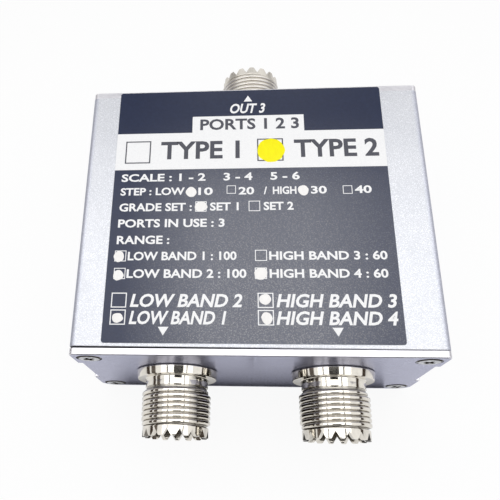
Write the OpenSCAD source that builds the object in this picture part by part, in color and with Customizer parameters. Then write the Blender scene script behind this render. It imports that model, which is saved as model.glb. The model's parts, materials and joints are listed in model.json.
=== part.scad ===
// Antenna duplexer: a split aluminium case with three threaded coaxial sockets and a two-branch filter board.
// X runs to the right, Y runs from the front plate to the rear plate, Z is up. The case rests on Z = 0.

/* [Case] */
// Width of the case over its side walls
case_w = 80; // [76:0.5:100]
// Height of the case from its resting face to its top face
case_h = 38; // [37:0.5:50]
// Length of the two half shells between the end plates
shell_l = 64; // [60:0.5:120]
// Wall of the half shells, at the side recess, the top and the bottom
wall_t = 1.8; // [1.6:0.1:2.2]
// Radius of the upper long edges
top_edge_r = 1.2; // [0.6:0.1:2]
// Radius of the lower long edges
bottom_edge_r = 4; // [2:0.25:4.5]
// Depth of the long recess in each side wall
recess_depth = 1; // [0.5:0.1:1.4]
// Distance from the top face down to the upper step of the side recess
recess_top = 9; // [8:0.25:12]
// Distance from the top face down to the lower step of the side recess
recess_bottom = 26; // [23:0.25:28]
// Distance from the top face down to the parting line of the two shells
parting_drop = 17.5; // [15:0.25:20]
// Height of the lip that locates the upper shell inside the lower one
lip_h = 1.6; // [1:0.1:2.4]
// Thickness of that lip
lip_t = 0.8; // [0.6:0.05:1]
// Clearance between the lip and its rebate
lip_clear = 0.1; // [0.05:0.05:0.2]

/* [End plates] */
// Thickness of each end plate
plate_t = 1.6; // [1.5:0.1:3]
// Clearance of the plates' holes around the sockets
socket_hole_clear = 0.25; // [0.1:0.05:0.4]

/* [Plate screws] */
// Distance from the sides of the case to the screws
screw_inset_x = 3.8; // [3.5:0.1:5]
// Distance from the top and bottom of the case to the screws
screw_inset_z = 3.8; // [3.4:0.1:4]
// Diameter of the screws' shanks
screw_d = 2.9; // [2.4:0.1:3]
// Diameter of the countersunk heads
screw_head_d = 5.6; // [5:0.1:6]
// Length of the screws from the top of the head to the tip
screw_l = 8; // [6:0.5:12]
// Depth of the heads' upright rims
screw_rim = 0.1; // [0.05:0.05:0.15]
// Length of the screws' tapered tips
screw_tip_l = 0.7; // [0.4:0.1:1]
// Clearance around the screws, in the plates and in the shells
screw_clear = 0.06; // [0.05:0.01:0.1]
// Width of the heads' crossed slots
cross_w = 0.9; // [0.6:0.1:1.1]
// Span of the heads' crossed slots
cross_span = 3.2; // [2.4:0.1:3.6]
// Depth of the heads' crossed slots
cross_depth = 1.2; // [0.8:0.1:1.6]
// Wall of the screw channels in the shells
channel_wall = 1.4; // [1:0.1:1.5]
// Width of the slot along each screw channel
channel_slot = 1.2; // [0.8:0.1:1.6]

/* [Label] */
// Width of the printed label
label_w = 64; // [50:0.5:68]
// Length of the printed label
label_l = 64.2; // [40:0.1:64.4]
// Thickness of the label
label_t = 0.15; // [0.1:0.05:0.3]
// Radius of the label's corners
label_corner_r = 0.6; // [0.3:0.1:2]
// Sideways place of the label's middle
label_x = -1; // [-3:0.25:3]
// Distance from the front plate's face to the label
label_front = 2.6; // [2.2:0.1:2.8]

/* [Sockets] */
// Distance of the front sockets from the middle of the case
socket_x = 18.1; // [15:0.1:22]
// Height of the front sockets' axes
front_socket_z = 20.5; // [19.5:0.25:23]
// Height of the rear socket's axis
rear_socket_z = 20; // [19:0.25:23]
// Outer diameter of the coupling thread
thread_d = 15.875; // [15.6:0.005:16.2]
// Pitch of the coupling thread
thread_pitch = 1.058; // [1:0.002:1.1]
// Number of crests on the coupling thread
thread_crests = 7; // [5:1:8]
// Depth of the coupling thread
thread_depth = 0.56; // [0.44:0.02:0.6]
// Width of the flat on each crest
crest_flat = 0.26; // [0.1:0.02:0.36]
// Diameter of the flange that bears on the plate
flange_d = 19; // [18:0.25:21]
// Thickness of the flange
flange_t = 2.1; // [1.5:0.1:3]
// Chamfer on the flange, the rim and the shank
edge_chamfer = 0.25; // [0.1:0.05:0.4]
// Diameter of the plain neck behind the thread
neck_d = 14.5; // [14.2:0.1:15.4]
// Length of the plain neck
neck_l = 2.05; // [1.5:0.05:3.5]
// Diameter of the relief grooves on both sides of the thread
relief_d = 14; // [13.6:0.1:14.4]
// Width of the relief grooves
relief_w = 0.5; // [0.3:0.05:0.8]
// Diameter of the notched rim
rim_d = 15.1; // [14.8:0.1:15.6]
// Length of the notched rim
rim_l = 2.6; // [2:0.1:4]
// Number of notches in the rim
notch_count = 16; // [8:1:18]
// Width of each notch at the end of the rim
notch_w = 2; // [1:0.1:2.2]
// Depth of each notch
notch_depth = 1.6; // [1:0.1:2]
// Bore of the socket shell
socket_bore_d = 12.2; // [11.8:0.1:12.6]
// Depth from the rim down to the insulator
cup_depth = 8; // [6:0.25:10]
// Diameter of the shank that passes through the plate
shank_d = 15.5; // [15:0.1:15.8]
// Length of the shank past the nut
shank_spare = 2; // [1:0.25:4]
// Clearance of the insulator, the contact and the nut in their seats
seat_clear = 0.05; // [0.02:0.01:0.1]
// Length of the insulator past the shank
insulator_tail = 1; // [0.5:0.25:2]
// Bore of the centre contact
contact_bore_d = 4; // [3.9:0.05:4.2]
// Depth of the centre contact's bore
contact_bore_l = 11; // [8:0.5:13]
// Outer diameter of the centre contact
contact_d = 5.5; // [5.2:0.1:6]
// Length of the centre contact in front of the insulator
contact_proud = 1; // [0.5:0.25:2]
// Width of the four slots in the centre contact
contact_slot = 0.5; // [0.3:0.05:0.7]
// Length of the four slots in the centre contact
contact_slot_l = 7; // [4:0.5:9]
// Diameter of the solder cup behind the centre contact
cup_d = 3; // [2.6:0.1:3.6]
// Length of the solder cup
cup_l = 5; // [4:0.25:6]
// Bore of the solder cup
cup_bore_d = 1.8; // [1.6:0.1:2]
// Depth of the solder cup's bore
cup_bore_l = 2.5; // [2:0.25:3]
// Width of the lock nuts across their flats
nut_flats = 18; // [17.5:0.25:19]
// Thickness of the lock nuts
nut_t = 3; // [2.5:0.25:4]
// Thickness of the earth tags
tag_t = 0.5; // [0.3:0.05:0.6]
// Outer diameter of the earth tags
tag_d = 19.6; // [19:0.2:20]
// Width of the earth tags' tongues
tag_tongue_w = 4; // [3:0.25:6]
// Length of the earth tags' feet on the board
tag_foot_l = 6; // [4:0.25:8]

/* [Filter board] */
// Thickness of the board
board_t = 1.6; // [1.2:0.1:1.6]
// Height of the board's lower face
board_z = 7; // [6.9:0.05:7.2]
// Clearance of the board in its slots and between the end plates
board_clear = 0.2; // [0.1:0.05:0.3]
// Width of the ribs that hold the board
rib_w = 1.5; // [1:0.1:2]
// Thickness of the ribs that hold the board
rib_t = 1.2; // [0.8:0.1:1.5]
// Diameter of the three leads from the sockets
lead_d = 1.2; // [0.8:0.1:1.4]
// Straight reach of the leads past the solder cups
lead_reach = 3; // [2:0.25:4]

/* [Low-pass branch] */
// Sideways place of the low-pass coils
low_coil_x = -15; // [-18:0.5:-10]
// Wire diameter of the low-pass coils
low_coil_wire = 1.2; // [0.8:0.1:1.3]
// Mean diameter of the low-pass coils
low_coil_d = 8; // [6:0.25:9]
// Whole turns of the low-pass coils, which gain a half turn between their legs
low_coil_turns = 4; // [3:1:5]
// Pitch of the low-pass coils
low_coil_pitch = 2; // [1.8:0.1:2.2]
// Sideways place of the low-pass capacitors
low_cap_x = -28; // [-30:0.5:-26]

/* [High-pass branch] */
// Sideways place of the high-pass coils
high_coil_x = 15; // [10:0.5:18]
// Wire diameter of the high-pass coils
high_coil_wire = 1; // [0.8:0.1:1.1]
// Mean diameter of the high-pass coils
high_coil_d = 5; // [4:0.25:7]
// Whole turns of the high-pass coils, which gain a half turn between their legs
high_coil_turns = 3; // [2:1:5]
// Pitch of the high-pass coils
high_coil_pitch = 1.8; // [1.6:0.1:2.2]
// Sideways place of the high-pass capacitors
high_cap_x = 28; // [26:0.5:30]

/* [Capacitors and screen] */
// Distance between neighbouring coils
coil_step = 15; // [14:0.5:18]
// Height of the coils' lowest turn over the board
coil_lift = 1.2; // [0.8:0.1:2]
// Diameter of the disc capacitors
cap_d = 9; // [7:0.25:10]
// Thickness of the disc capacitors
cap_t = 3; // [2:0.25:4]
// Height of the discs' lowest point over the board
cap_lift = 2; // [1:0.25:3]
// Diameter of the capacitors' legs
cap_leg_d = 0.7; // [0.5:0.05:0.9]
// Distance between a capacitor's legs
cap_leg_pitch = 5; // [3:0.25:6]
// Distance between neighbouring capacitors
cap_step = 12; // [11:0.5:15]
// Number of capacitors in each branch
cap_count = 3; // [2:1:3]
// Thickness of the screen between the branches
screen_t = 0.5; // [0.3:0.05:0.8]
// Height of the screen over the board
screen_h = 13; // [8:0.25:14]
// Length of the screen
screen_l = 34; // [24:0.5:36]
// Place of the screen's middle along the case
screen_y = -9; // [-10:0.5:-8]

/* [Hidden] */
$fn = 64;
cut = 0.5;
fuse = 0.1;
plate_face = shell_l / 2 + plate_t;
inner_half_w = case_w / 2 - recess_depth - wall_t;
parting_z = case_h - parting_drop;
screw_x = case_w / 2 - screw_inset_x;
screw_levels = [screw_inset_z, case_h - screw_inset_z];
screw_hole_r = screw_d / 2 + screw_clear;
screw_head_r = screw_head_d / 2;
screw_cone = screw_head_r - screw_d / 2;
channel_r = screw_hole_r + channel_wall;
board_top = board_z + board_t;

// Places along a socket's axis, measured outwards from the plate's face
shank_end = -(plate_t + tag_t + nut_t + shank_spare);
neck_end = flange_t + neck_l;
thread_start = neck_end + relief_w;
thread_end = thread_start + thread_crests * thread_pitch;
rim_start = thread_end + relief_w;
barrel_l = rim_start + rim_l;
insulator_face = barrel_l - cup_depth;
insulator_end = shank_end - insulator_tail;
contact_face = insulator_face + contact_proud;
contact_end = insulator_end - cup_l;
lead_start = contact_end + cup_bore_l - cut;
lead_bend = contact_end - lead_reach;

// Sides and rings of a coil's round wire
wire_sides = 6;
rings_per_turn = 16;

// A rectangle with round corners, about its middle
module rounded_rectangle(w, l, r) {
  square([w - 2 * r, l], center = true);
  square([w, l - 2 * r], center = true);
  for (sx = [-1, 1], sy = [-1, 1]) translate([sx * (w / 2 - r), sy * (l / 2 - r)]) circle(r);
}

// A rectangle on each side of the section, from x outwards and from z upwards
module on_both_sides(x, z, w, h) {
  for (start = [x, -x - w]) translate([start, z]) square([w, h]);
}

// The case's outer section, with its round edges and the recess in each side
module case_outline() {
  difference() {
    union() {
      translate([-case_w / 2, bottom_edge_r]) square([case_w, case_h - bottom_edge_r - top_edge_r]);
      translate([-case_w / 2 + bottom_edge_r, 0]) square([case_w - 2 * bottom_edge_r, bottom_edge_r + fuse]);
      translate([-case_w / 2 + top_edge_r, case_h - top_edge_r - fuse])
        square([case_w - 2 * top_edge_r, top_edge_r + fuse]);
      for (s = [-1, 1]) {
        translate([s * (case_w / 2 - bottom_edge_r), bottom_edge_r]) circle(bottom_edge_r);
        translate([s * (case_w / 2 - top_edge_r), case_h - top_edge_r]) circle(top_edge_r);
      }
    }
    on_both_sides(
      case_w / 2 - recess_depth, case_h - recess_bottom,
      recess_depth + cut, recess_bottom - recess_top
    );
  }
}

// The extrusion's section: the walls and the four slotted screw channels
module extrusion_section() {
  difference() {
    union() {
      difference() {
        case_outline();
        translate([-inner_half_w, wall_t]) square([2 * inner_half_w, case_h - 2 * wall_t]);
      }
      for (s = [-1, 1], z = screw_levels) translate([s * screw_x, z]) circle(channel_r);
    }
    for (s = [-1, 1], z = screw_levels) translate([s * screw_x, z]) {
      circle(screw_hole_r);
      translate([s > 0 ? -channel_r - cut : 0, -channel_slot / 2]) square([channel_r + cut, channel_slot]);
    }
  }
}

// The upper half of the section, with the lip that hangs inside the lower shell
module upper_section() {
  intersection() {
    extrusion_section();
    translate([-case_w / 2, parting_z]) square([case_w, parting_drop]);
  }
  on_both_sides(inner_half_w, parting_z - lip_h, lip_t, lip_h + fuse);
}

// The lower half of the section, with the lip's rebate and the ribs that hold the board
module lower_section() {
  difference() {
    intersection() {
      extrusion_section();
      translate([-case_w / 2, 0]) square([case_w, parting_z]);
    }
    on_both_sides(
      inner_half_w - cut, parting_z - lip_h - lip_clear,
      lip_t + lip_clear + cut, lip_h + lip_clear + cut
    );
  }
  for (z = [board_z - rib_t, board_top + board_clear])
    on_both_sides(inner_half_w - rib_w, z, rib_w + fuse, rib_t);
}

// Stands a section of the case upright and draws it out along the case
module along_case(length, start) {
  translate([0, start + length, 0]) rotate([90, 0, 0]) linear_extrude(length) children();
}

module lower_shell() {
  color("silver") along_case(shell_l, -shell_l / 2) lower_section();
}

module upper_shell() {
  color("silver") along_case(shell_l, -shell_l / 2) upper_section();
}

// Puts a piece that is drawn outwards along Z on an end plate's face, at x and height z
module on_plate(x, z, turn) {
  rotate([0, 0, turn]) translate([x, -plate_face, z]) rotate([90, 0, 0]) children();
}

// An end plate with its socket holes and countersunk screw holes
module end_plate(holes, turn) {
  difference() {
    on_plate(0, 0, turn) translate([0, 0, -plate_t]) linear_extrude(plate_t) case_outline();
    for (h = holes) on_plate(h[0], h[1], turn)
      translate([0, 0, -plate_t - cut]) cylinder(r = shank_d / 2 + socket_hole_clear, h = plate_t + 2 * cut);
    for (s = [-1, 1], z = screw_levels) on_plate(s * screw_x, z, turn) {
      translate([0, 0, -plate_t - cut])
        cylinder(r = screw_hole_r, h = plate_t + 2 * cut);
      translate([0, 0, -screw_rim - screw_cone])
        cylinder(r1 = screw_hole_r, r2 = screw_hole_r + screw_cone, h = screw_cone);
      translate([0, 0, -screw_rim - fuse / 2])
        cylinder(r = screw_hole_r + screw_cone, h = screw_rim + cut);
    }
  }
}

module front_plate() {
  color("lightgray") end_plate([[-socket_x, front_socket_z], [socket_x, front_socket_z]], 0);
}

module rear_plate() {
  color("lightgray") end_plate([[0, rear_socket_z]], 180);
}

module rating_label() {
  color("darkslategray")
    translate([label_x, -plate_face + label_front + label_l / 2, case_h])
      linear_extrude(label_t) rounded_rectangle(label_w, label_l, label_corner_r);
}

// A countersunk screw, its head level with Z = 0 and its tip downwards
module plate_screw() {
  color("gainsboro") difference() {
    rotate_extrude() polygon([
      [0, 0],
      [screw_head_r, 0],
      [screw_head_r, -screw_rim],
      [screw_d / 2, -screw_rim - screw_cone],
      [screw_d / 2, screw_tip_l - screw_l],
      [(screw_d - screw_tip_l) / 2, -screw_l],
      [0, -screw_l]
    ]);
    for (a = [0, 90]) rotate([0, 0, a]) translate([-cross_span / 2, -cross_w / 2, -cross_depth])
      cube([cross_span, cross_w, cross_depth + cut]);
  }
}

module front_upper_left_screw() on_plate(-screw_x, screw_levels[1], 0) plate_screw();
module front_upper_right_screw() on_plate(screw_x, screw_levels[1], 0) plate_screw();
module front_lower_left_screw() on_plate(-screw_x, screw_levels[0], 0) plate_screw();
module front_lower_right_screw() on_plate(screw_x, screw_levels[0], 0) plate_screw();
module rear_upper_left_screw() on_plate(screw_x, screw_levels[1], 180) plate_screw();
module rear_upper_right_screw() on_plate(-screw_x, screw_levels[1], 180) plate_screw();
module rear_lower_left_screw() on_plate(screw_x, screw_levels[0], 180) plate_screw();
module rear_lower_right_screw() on_plate(-screw_x, screw_levels[0], 180) plate_screw();

// One ridge of the coupling thread, as points of radius and height
function thread_ridge(k) =
  let (
    z = thread_start + k * thread_pitch,
    root = thread_d / 2 - thread_depth,
    flank = thread_depth * tan(30)
  )
  [
    [root, z + thread_pitch / 2 - crest_flat / 2 - flank],
    [thread_d / 2, z + thread_pitch / 2 - crest_flat / 2],
    [thread_d / 2, z + thread_pitch / 2 + crest_flat / 2],
    [root, z + thread_pitch / 2 + crest_flat / 2 + flank]
  ];

// The socket's plated shell: shank, flange, neck, coupling thread and notched rim
module socket_shell() {
  bore_r = socket_bore_d / 2;
  shank_r = shank_d / 2;
  flange_r = flange_d / 2;
  rim_r = rim_d / 2;
  root_r = thread_d / 2 - thread_depth;
  mouth_half_w = notch_w / 2 * (notch_depth + cut) / notch_depth;
  color("white") difference() {
    rotate_extrude() polygon(concat(
      [
        [bore_r, shank_end],
        [shank_r - edge_chamfer, shank_end],
        [shank_r, shank_end + edge_chamfer],
        [shank_r, 0],
        [flange_r - edge_chamfer, 0],
        [flange_r, edge_chamfer],
        [flange_r, flange_t - edge_chamfer],
        [flange_r - edge_chamfer, flange_t],
        [neck_d / 2, flange_t],
        [neck_d / 2, neck_end],
        [relief_d / 2, neck_end],
        [relief_d / 2, thread_start],
        [root_r, thread_start]
      ],
      [for (k = [0 : thread_crests - 1]) each thread_ridge(k)],
      [
        [root_r, thread_end],
        [relief_d / 2, thread_end],
        [relief_d / 2, rim_start],
        [rim_r, rim_start],
        [rim_r, barrel_l - edge_chamfer],
        [rim_r - edge_chamfer, barrel_l],
        [bore_r, barrel_l]
      ]
    ));
    for (k = [0 : notch_count - 1]) rotate([0, 0, (k + 0.5) * 360 / notch_count])
      translate([0, 0, barrel_l]) rotate([90, 0, 0]) linear_extrude(rim_r + cut)
        polygon([[-mouth_half_w, cut], [0, -notch_depth], [mouth_half_w, cut]]);
  }
}

// The white insulator that fills the shell behind its cup
module socket_insulator() {
  color("ivory") difference() {
    translate([0, 0, insulator_end])
      cylinder(r = socket_bore_d / 2 - seat_clear, h = insulator_face - insulator_end);
    translate([0, 0, insulator_end - cut])
      cylinder(r = contact_d / 2 + seat_clear, h = insulator_face - insulator_end + 2 * cut);
  }
}

// The centre contact: a slotted tube in front and a solder cup behind
module socket_contact() {
  color("gold") difference() {
    rotate_extrude() polygon([
      [0, contact_end],
      [cup_d / 2, contact_end],
      [cup_d / 2, insulator_end],
      [contact_d / 2, insulator_end],
      [contact_d / 2, contact_face],
      [0, contact_face]
    ]);
    translate([0, 0, contact_face - contact_bore_l])
      cylinder(r = contact_bore_d / 2, h = contact_bore_l + cut);
    translate([0, 0, contact_end - cut])
      cylinder(r = cup_bore_d / 2, h = cup_bore_l + cut);
    for (a = [0, 90]) rotate([0, 0, a])
      translate([-contact_d, -contact_slot / 2, contact_face - contact_slot_l])
        cube([2 * contact_d, contact_slot, contact_slot_l + cut]);
  }
}

// The hexagonal lock nut that draws the flange on to the plate
module socket_nut() {
  color("silver") translate([0, 0, -plate_t - tag_t - nut_t]) difference() {
    cylinder(d = nut_flats / cos(30), h = nut_t, $fn = 6);
    translate([0, 0, -cut]) cylinder(r = shank_d / 2 + seat_clear, h = nut_t + 2 * cut);
  }
}

// The earth tag under the nut, whose tongue comes down to the board and lies on it
module socket_tag(height) {
  drop = height - board_top;
  color("khaki") translate([0, 0, -plate_t - tag_t]) difference() {
    union() {
      cylinder(d = tag_d, h = tag_t);
      translate([-tag_tongue_w / 2, -drop, 0]) cube([tag_tongue_w, drop, tag_t]);
      translate([-tag_tongue_w / 2, -drop, tag_t - tag_foot_l]) cube([tag_tongue_w, tag_t, tag_foot_l]);
    }
    translate([0, 0, -cut]) cylinder(r = shank_d / 2 + seat_clear, h = tag_t + 2 * cut);
  }
}

// The bare lead from the solder cup, bent down to the board
module socket_lead(height) {
  color("lightgray") {
    translate([0, 0, lead_bend]) cylinder(d = lead_d, h = lead_start - lead_bend);
    translate([0, 0, lead_bend]) sphere(d = lead_d);
    translate([0, 0, lead_bend]) rotate([90, 0, 0]) cylinder(d = lead_d, h = height - board_top);
  }
}

module on_low_band() on_plate(-socket_x, front_socket_z, 0) children();
module low_band_shell() on_low_band() socket_shell();
module low_band_insulator() on_low_band() socket_insulator();
module low_band_contact() on_low_band() socket_contact();
module low_band_nut() on_low_band() socket_nut();
module low_band_tag() on_low_band() socket_tag(front_socket_z);
module low_band_lead() on_low_band() socket_lead(front_socket_z);

module on_high_band() on_plate(socket_x, front_socket_z, 0) children();
module high_band_shell() on_high_band() socket_shell();
module high_band_insulator() on_high_band() socket_insulator();
module high_band_contact() on_high_band() socket_contact();
module high_band_nut() on_high_band() socket_nut();
module high_band_tag() on_high_band() socket_tag(front_socket_z);
module high_band_lead() on_high_band() socket_lead(front_socket_z);

module on_common() on_plate(0, rear_socket_z, 180) children();
module common_shell() on_common() socket_shell();
module common_insulator() on_common() socket_insulator();
module common_contact() on_common() socket_contact();
module common_nut() on_common() socket_nut();
module common_tag() on_common() socket_tag(rear_socket_z);
module common_lead() on_common() socket_lead(rear_socket_z);

module filter_board() {
  board_w = 2 * (inner_half_w - board_clear);
  board_l = shell_l - 2 * board_clear;
  color("seagreen") translate([-board_w / 2, -board_l / 2, board_z]) cube([board_w, board_l, board_t]);
}

module screen_wall() {
  color("lightsteelblue") translate([-screen_t / 2, screen_y - screen_l / 2, board_top])
    cube([screen_t, screen_l, screen_h]);
}

// The middle line of a coil's wire along Y: up one leg, round the turns and down the other leg
function coil_path(turns, d, pitch, leg) =
  let (
    all_turns = turns + 0.5,
    steps = all_turns * rings_per_turn,
    half_l = all_turns * pitch / 2
  )
  concat(
    [[-d / 2, -half_l, -leg]],
    [for (i = [0 : steps])
      let (a = 360 * i / rings_per_turn)
      [-d / 2 * cos(a), -half_l + pitch * i / rings_per_turn, d / 2 * sin(a)]],
    [[d / 2, half_l, -leg]]
  );

// The direction of a path at point i, from its neighbours
function path_direction(path, i) =
  let (step = path[min(i + 1, len(path) - 1)] - path[max(i - 1, 0)])
  step / norm(step);

// The outward direction at each point of a coil's path
function coil_outward(turns) =
  let (steps = (turns + 0.5) * rings_per_turn)
  concat(
    [[-1, 0, 0]],
    [for (i = [0 : steps]) let (a = 360 * i / rings_per_turn) [-cos(a), 0, sin(a)]],
    [[1, 0, 0]]
  );

// The least gap between wire surfaces at least half a turn apart
function coil_gap(path, wire) =
  let (last = len(path) - 1)
  min([for (i = [0 : last], j = [i + rings_per_turn / 2 : 1 : last]) norm(path[i] - path[j])]) - wire;

// An air-wound coil: one round wire swept along its path, standing on its two legs
module air_coil(turns, d, wire, pitch) {
  leg = d / 2 + wire / 2 + coil_lift;
  path = coil_path(turns, d, pitch, leg);
  outward = coil_outward(turns);
  rings = len(path);
  points = [
    for (i = [0 : rings - 1])
      let (
        level = i == 0 || i == rings - 1,
        along = level ? [0, 0, i == 0 ? 1 : -1] : path_direction(path, i),
        across = cross(along, outward[i])
      )
      for (k = [0 : wire_sides - 1])
        path[i] + wire / 2 * (cos(360 * k / wire_sides) * outward[i] + sin(360 * k / wire_sides) * across)
  ];
  sides = [
    for (i = [0 : rings - 2], k = [0 : wire_sides - 1])
      let (
        a = i * wire_sides + k,
        b = i * wire_sides + (k + 1) % wire_sides
      )
      each [[a, a + wire_sides, b], [b, a + wire_sides, b + wire_sides]]
  ];
  last = (rings - 1) * wire_sides;
  start_cap = [for (k = [1 : wire_sides - 2]) [0, k, k + 1]];
  end_cap = [for (k = [1 : wire_sides - 2]) [last, last + k + 1, last + k]];
  echo(str("coil of ", turns, ".5 turns: least gap between turns ", coil_gap(path, wire), " mm"));
  translate([0, 0, board_top + leg]) polyhedron(points, concat(sides, start_cap, end_cap), convexity = 10);
}

module low_pass_coil() {
  color("peru") air_coil(low_coil_turns, low_coil_d, low_coil_wire, low_coil_pitch);
}

module high_pass_coil() {
  color("peru") air_coil(high_coil_turns, high_coil_d, high_coil_wire, high_coil_pitch);
}

module low_pass_coil_front() translate([low_coil_x, -coil_step / 2, 0]) low_pass_coil();
module low_pass_coil_rear() translate([low_coil_x, coil_step / 2, 0]) low_pass_coil();
module high_pass_coil_front() translate([high_coil_x, -coil_step / 2, 0]) high_pass_coil();
module high_pass_coil_rear() translate([high_coil_x, coil_step / 2, 0]) high_pass_coil();

// A disc capacitor standing on the board on two legs, facing sideways
module disc_capacitor() {
  middle = board_top + cap_lift + cap_d / 2;
  translate([-cap_t / 2, 0, middle]) rotate([0, 90, 0]) cylinder(d = cap_d, h = cap_t);
  for (s = [-1, 1]) translate([0, s * cap_leg_pitch / 2, board_top])
    cylinder(d = cap_leg_d, h = cap_lift + cap_d / 2);
}

// A row of disc capacitors along the case
module capacitor_row(x) {
  for (k = [0 : cap_count - 1]) translate([x, (k - (cap_count - 1) / 2) * cap_step, 0]) disc_capacitor();
}

module low_pass_capacitors() {
  color("royalblue") capacitor_row(low_cap_x);
}

module high_pass_capacitors() {
  color("royalblue") capacitor_row(high_cap_x);
}

lower_shell();
upper_shell();
front_plate();
rear_plate();
rating_label();
front_upper_left_screw();
front_upper_right_screw();
front_lower_left_screw();
front_lower_right_screw();
rear_upper_left_screw();
rear_upper_right_screw();
rear_lower_left_screw();
rear_lower_right_screw();
low_band_shell();
low_band_insulator();
low_band_contact();
low_band_nut();
low_band_tag();
low_band_lead();
high_band_shell();
high_band_insulator();
high_band_contact();
high_band_nut();
high_band_tag();
high_band_lead();
common_shell();
common_insulator();
common_contact();
common_nut();
common_tag();
common_lead();
filter_board();
screen_wall();
low_pass_coil_front();
low_pass_coil_rear();
low_pass_capacitors();
high_pass_coil_front();
high_pass_coil_rear();
high_pass_capacitors();
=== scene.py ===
import json
import math

import bmesh
import bpy
from mathutils import Matrix

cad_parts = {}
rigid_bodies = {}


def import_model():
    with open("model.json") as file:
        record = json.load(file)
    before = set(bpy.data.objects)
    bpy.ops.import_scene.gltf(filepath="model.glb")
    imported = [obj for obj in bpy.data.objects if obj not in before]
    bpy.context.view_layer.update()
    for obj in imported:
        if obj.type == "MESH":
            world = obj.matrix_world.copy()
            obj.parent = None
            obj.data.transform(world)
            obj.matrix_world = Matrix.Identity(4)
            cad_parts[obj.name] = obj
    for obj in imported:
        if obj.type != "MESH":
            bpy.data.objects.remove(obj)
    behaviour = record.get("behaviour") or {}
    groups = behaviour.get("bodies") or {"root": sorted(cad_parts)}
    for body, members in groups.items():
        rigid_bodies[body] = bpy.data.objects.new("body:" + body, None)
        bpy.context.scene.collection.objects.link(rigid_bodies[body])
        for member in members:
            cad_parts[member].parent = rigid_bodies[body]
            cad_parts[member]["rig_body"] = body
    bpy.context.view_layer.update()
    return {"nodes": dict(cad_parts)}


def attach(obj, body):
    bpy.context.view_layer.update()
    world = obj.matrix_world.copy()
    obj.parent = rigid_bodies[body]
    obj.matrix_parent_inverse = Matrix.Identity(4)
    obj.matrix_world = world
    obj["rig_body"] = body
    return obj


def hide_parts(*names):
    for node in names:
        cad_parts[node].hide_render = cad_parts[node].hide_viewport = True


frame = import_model()
nodes = frame["nodes"]

# The two half shells are aluminium extrusions, blasted with fine grit and clear anodised.
# They meet at a lip in the side recess, and the end plates hold them shut.
MM = 0.001
SHELL_HALF = 40.0
SHELL_TOP = 38.0
SHELL_REAR = 31.0
SKIN_ACROSS = 1.5
SKIN_UP = 1.4
END_ROUND = 0.16
END_FACING = 0.9
SEAM = (0.28, 0.06)
END_SLACK = 0.01
MERGE_GAP = 0.002
SAME_PLANE = 0.5
SHARP_EDGE = 30
FLAT_FACING = 0.999
NARROW_FACE = 0.6
SHELL_COLOUR = (0.66, 0.668, 0.70)
SHELL_SHADE = (0.555, 0.57, 0.61)
# Painted shade on the shells' upper side rounds: this colour multiplies their base colour there.
SHELL_CORNER_SHADE = (0.83, 0.84, 0.91)
CORNER_SHADE_ACROSS = (1.6, 0.7)
CORNER_SHADE_DOWN = (2.0, 1.0)
SPECK_GAIN = 1.36
# Painted shade for the shells' end faces in the seams and for the plates' hole walls.
JOINT_SHADE_GREY = (0.06, 0.06, 0.065)
JOINT_SHADE_DARK = (0.02, 0.02, 0.023)
JOINT_UNSHADED = (0.62, 0.63, 0.66)
JOINT_SHADE_FADE_X = (0, 12)
JOINT_SHADE_WOBBLE = 14


class Wire:
    """A socket of a node tree, so that sums between sockets read as plain expressions."""

    def __init__(self, tree, socket=None):
        self.tree = tree
        self.socket = socket

    def add(self, kind, inputs=None, output=0, **settings):
        """Add a node, its settings first and then its sockets, and return one of its outputs."""
        made = self.tree.nodes.new(kind)
        for name, value in settings.items():
            setattr(made, name, value)
        for key, values in (inputs or {}).items():
            for value in values if isinstance(values, list) else [values]:
                if isinstance(value, Wire):
                    self.tree.links.new(value.socket, made.inputs[key])
                else:
                    made.inputs[key].default_value = value
        return Wire(self.tree, made.outputs[output] if made.outputs else None)

    def math(self, operation, *others):
        """This value after one operation, with the other values that it takes."""
        return self.add("ShaderNodeMath", dict(enumerate((self, *others))), operation=operation)

    def __add__(self, other):
        return self.math("ADD", other)

    def __sub__(self, other):
        return self.math("SUBTRACT", other)

    def __rsub__(self, other):
        return self.add("ShaderNodeMath", {0: other, 1: self}, operation="SUBTRACT")

    def __mul__(self, other):
        return self.math("MULTIPLY", other)

    def __truediv__(self, other):
        return self.math("DIVIDE", other)

    def __gt__(self, other):
        return self.math("GREATER_THAN", other)

    def __lt__(self, other):
        return self.math("LESS_THAN", other)

    __radd__ = __add__
    __rmul__ = __mul__

    def mix(self, low, high, blend="MIX"):
        """A colour that goes from low to high, or to a blend of both, as this value goes from 0 to 1."""
        pair = [shade if isinstance(shade, Wire) else (*shade, 1) for shade in (low, high)]
        return self.add(
            "ShaderNodeMix", {0: self, 6: pair[0], 7: pair[1]}, output=2,
            data_type="RGBA", blend_type=blend)

    def ramp(self, start, end):
        """This value stretched so that start becomes 0 and end becomes 1, and held there."""
        return self.add("ShaderNodeMapRange", {0: self, 1: start, 2: end}, clamp=True)

    def noise(self, size, detail=2.0):
        """Noise at this place, with cells of about size millimetres."""
        return self.add("ShaderNodeTexNoise", {0: self, 2: 1 / (size * MM), 3: detail})

    def part(self, index):
        """One coordinate of this place."""
        return self.add("ShaderNodeSeparateXYZ", {0: self}, output=index)

    def axis(self, index):
        """One coordinate of this place, in millimetres."""
        return self.part(index) / MM

    def vector(self, x=0, y=0, z=0):
        """A vector of three values in this tree."""
        return self.add("ShaderNodeCombineXYZ", {0: x, 1: y, 2: z})

    def stretched(self, x, y, z):
        """This place with its three axes scaled, for a grain that runs one way."""
        return self.add("ShaderNodeMapping", {0: self, 3: (x, y, z)})

    def bump(self, depth):
        """A normal that follows this height, in millimetres of depth."""
        return self.add("ShaderNodeBump", {1: depth * MM, 2: self})

    def attribute(self, name):
        """A value that the piece's own mesh carries."""
        return self.add("ShaderNodeAttribute", output="Fac", attribute_name=name)


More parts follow.
